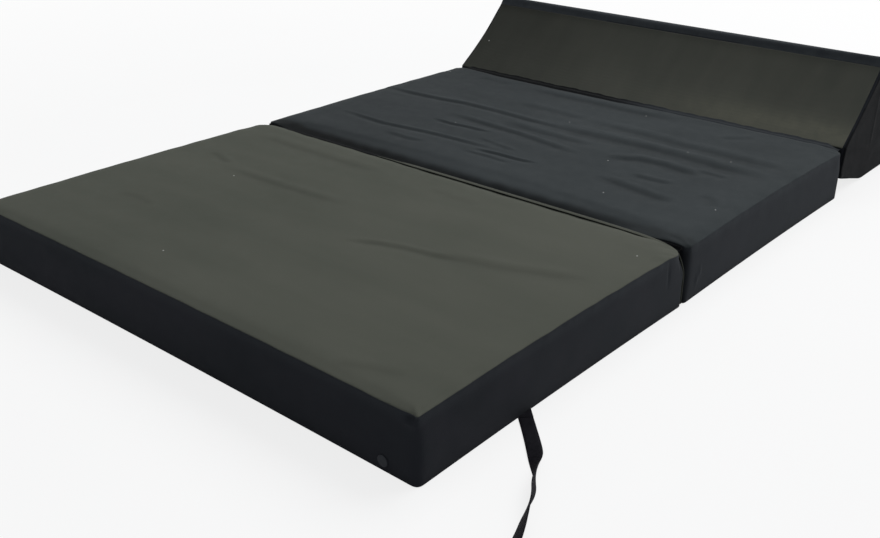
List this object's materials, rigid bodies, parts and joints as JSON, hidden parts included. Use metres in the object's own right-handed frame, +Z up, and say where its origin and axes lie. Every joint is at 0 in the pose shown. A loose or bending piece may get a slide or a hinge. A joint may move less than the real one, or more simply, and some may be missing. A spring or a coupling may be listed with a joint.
{
  "type": "folding foam chair bed",
  "caption": "Double folding foam chair bed: two foam mattress blocks and a sloping headrest in zipped cloth covers, joined by sewn hinge strips, laid out flat.",
  "frame": {"origin": "on the floor under the middle of the laid-out bed", "axes": "+X across the bed to the right as seen from the foot end, +Y from the foot end to the headrest, +Z up"},
  "size_m": [1.4088, 2.1094, 0.3078],
  "materials": {
    "foam": "open-cell foam, matt",
    "olive_cloth": "plain woven cloth, olive grey, matt",
    "charcoal_cloth": "plain woven cloth, blue-black, softly creased",
    "black_cloth": "plain woven cloth, black, matt",
    "dark_olive_cloth": "plain woven cloth, dark olive, matt",
    "webbing": "woven tape, black",
    "zip_tape": "woven zip tape, black",
    "zip_coil": "nylon coil",
    "zip_metal": "black enamelled die casting",
    "stud_metal": "painted snap cap",
    "washer_metal": "plain steel"
  },
  "bodies": {
    "middle": {"middle_foam_core": "foam", "middle_top_panel": "charcoal_cloth", "middle_border": "black_cloth", "middle_base_panel": "black_cloth", "middle_near_hinge_strip": "black_cloth", "middle_far_hinge_strip": "black_cloth", "middle_zip_tapes": "zip_tape", "middle_zip_coil": "zip_coil", "middle_zip_stops": "zip_metal"},
    "front": {"front_foam_core": "foam", "front_top_panel": "olive_cloth", "front_border": "black_cloth", "front_base_panel": "black_cloth", "front_hinge_strip": "black_cloth", "front_zip_tapes": "zip_tape", "front_zip_coil": "zip_coil", "front_zip_stops": "zip_metal", "front_stud_cap": "stud_metal", "front_stud_washer": "washer_metal", "tie_strap": "webbing", "tie_strap_anchor": "webbing", "tie_strap_tip": "webbing"},
    "headrest": {"headrest_foam_core": "foam", "headrest_face_panel": "dark_olive_cloth", "headrest_back_panel": "black_cloth", "headrest_base_panel": "black_cloth", "headrest_joint_panel": "black_cloth", "headrest_left_side": "black_cloth", "headrest_right_side": "black_cloth", "headrest_hinge_strip": "black_cloth", "headrest_zip_tapes": "zip_tape", "headrest_zip_coil": "zip_coil", "headrest_zip_stops": "zip_metal"},
    "front_slider": {"front_zip_slider": "zip_metal"},
    "front_pull": {"front_zip_pull": "zip_metal"},
    "middle_slider": {"middle_zip_slider": "zip_metal"},
    "middle_pull": {"middle_zip_pull": "zip_metal"},
    "headrest_slider": {"headrest_zip_slider": "zip_metal"},
    "headrest_pull": {"headrest_zip_pull": "zip_metal"}
  },
  "joints": [
    {"name": "front_fold", "type": "hinge", "parent": "middle", "child": "front", "pos_m": [0, -0.227, 0.1293], "axis": [-1, 0, 0], "range_deg": [0, 180]},
    {"name": "headrest_raise", "type": "hinge", "parent": "middle", "child": "headrest", "pos_m": [0, 0.549, 0.1293], "axis": [1, 0, 0], "range_deg": [0, 45]},
    {"name": "front_zip_slide", "type": "slide", "parent": "front", "child": "front_slider", "axis": [0, -1, 0], "range_m": [0, 0.46]},
    {"name": "front_pull_swing", "type": "hinge", "parent": "front_slider", "child": "front_pull", "pos_m": [-0.60287, -0.3848, 0.0625], "axis": [0, 0, -1], "range_deg": [0, 180]},
    {"name": "middle_zip_slide", "type": "slide", "parent": "middle", "child": "middle_slider", "axis": [0, -1, 0], "range_m": [0, 0.46]},
    {"name": "middle_pull_swing", "type": "hinge", "parent": "middle_slider", "child": "middle_pull", "pos_m": [-0.60287, 0.3912, 0.0625], "axis": [0, 0, -1], "range_deg": [0, 180]},
    {"name": "headrest_zip_slide", "type": "slide", "parent": "headrest", "child": "headrest_slider", "axis": [-1, 0, 0], "range_m": [0, 0.88]},
    {"name": "headrest_pull_swing", "type": "hinge", "parent": "headrest_slider", "child": "headrest_pull", "pos_m": [0.4402, 0.95564, 0.10522], "axis": [0, 0.6425, -0.7663], "range_deg": [0, 180]}
  ]
}
